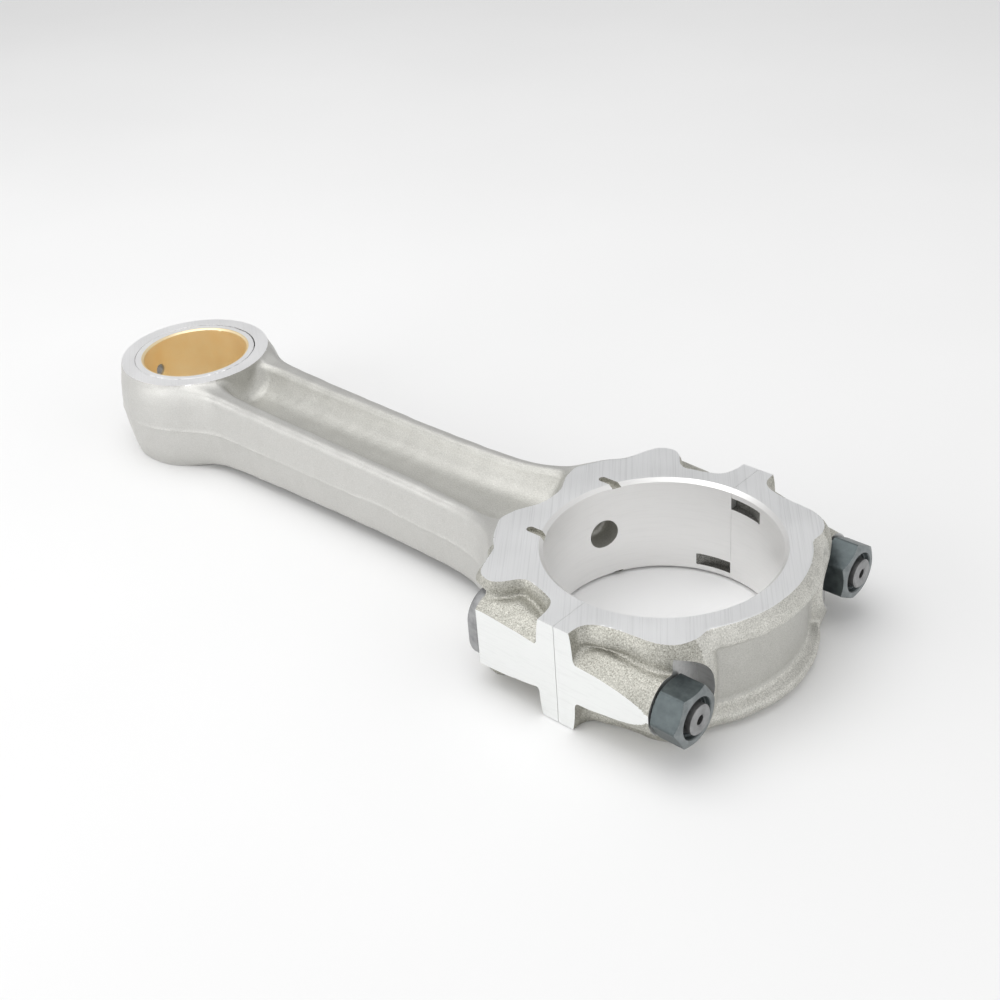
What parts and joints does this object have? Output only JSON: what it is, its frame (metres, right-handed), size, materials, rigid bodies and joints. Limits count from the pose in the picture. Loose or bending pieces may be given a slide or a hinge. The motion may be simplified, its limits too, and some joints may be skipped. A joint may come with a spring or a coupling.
{
  "type": "engine connecting rod",
  "caption": "Forged I-section connecting rod with a split big end, bolted bearing cap and a bronze-lined small-end bush.",
  "frame": {"origin": "middle of the rod's overall length and width, on the thrust face it lies on", "axes": "+X from the small end to the bearing cap, +Y across the rod, +Z along both bores"},
  "size_m": [0.2518, 0.086, 0.029],
  "materials": {
    "forged_steel": "shot-blasted forging with ground faces",
    "bronze": "bored bearing bronze",
    "oiled_bolt_steel": "dark oiled steel",
    "black_oxide": "black oxide"
  },
  "bodies": {
    "rod": {"rod_forging": "forged_steel", "small_end_bush": "bronze", "rod_bolt_1": "oiled_bolt_steel", "rod_bolt_2": "oiled_bolt_steel"},
    "cap": {"bearing_cap": "forged_steel"},
    "nut_1": {"cap_nut_1": "black_oxide"},
    "nut_2": {"cap_nut_2": "black_oxide"}
  },
  "joints": [
    {"name": "cap_slide", "type": "slide", "parent": "rod", "child": "cap", "axis": [1, 0, 0], "range_m": [0, 0.04]},
    {"name": "nut_1_turn", "type": "hinge", "parent": "cap", "child": "nut_1", "pos_m": [0.115, -0.0352, 0.0145], "axis": [-1, 0, 0], "range_deg": [0, 14401]},
    {"name": "nut_2_turn", "type": "hinge", "parent": "cap", "child": "nut_2", "pos_m": [0.115, 0.0352, 0.0145], "axis": [-1, 0, 0], "range_deg": [0, 14401]}
  ],
  "couplings": [
    {"joint": "nut_1_turn", "follows": "cap_slide", "rad_per_m": 6283.2},
    {"joint": "nut_2_turn", "follows": "cap_slide", "rad_per_m": 6283.2}
  ]
}
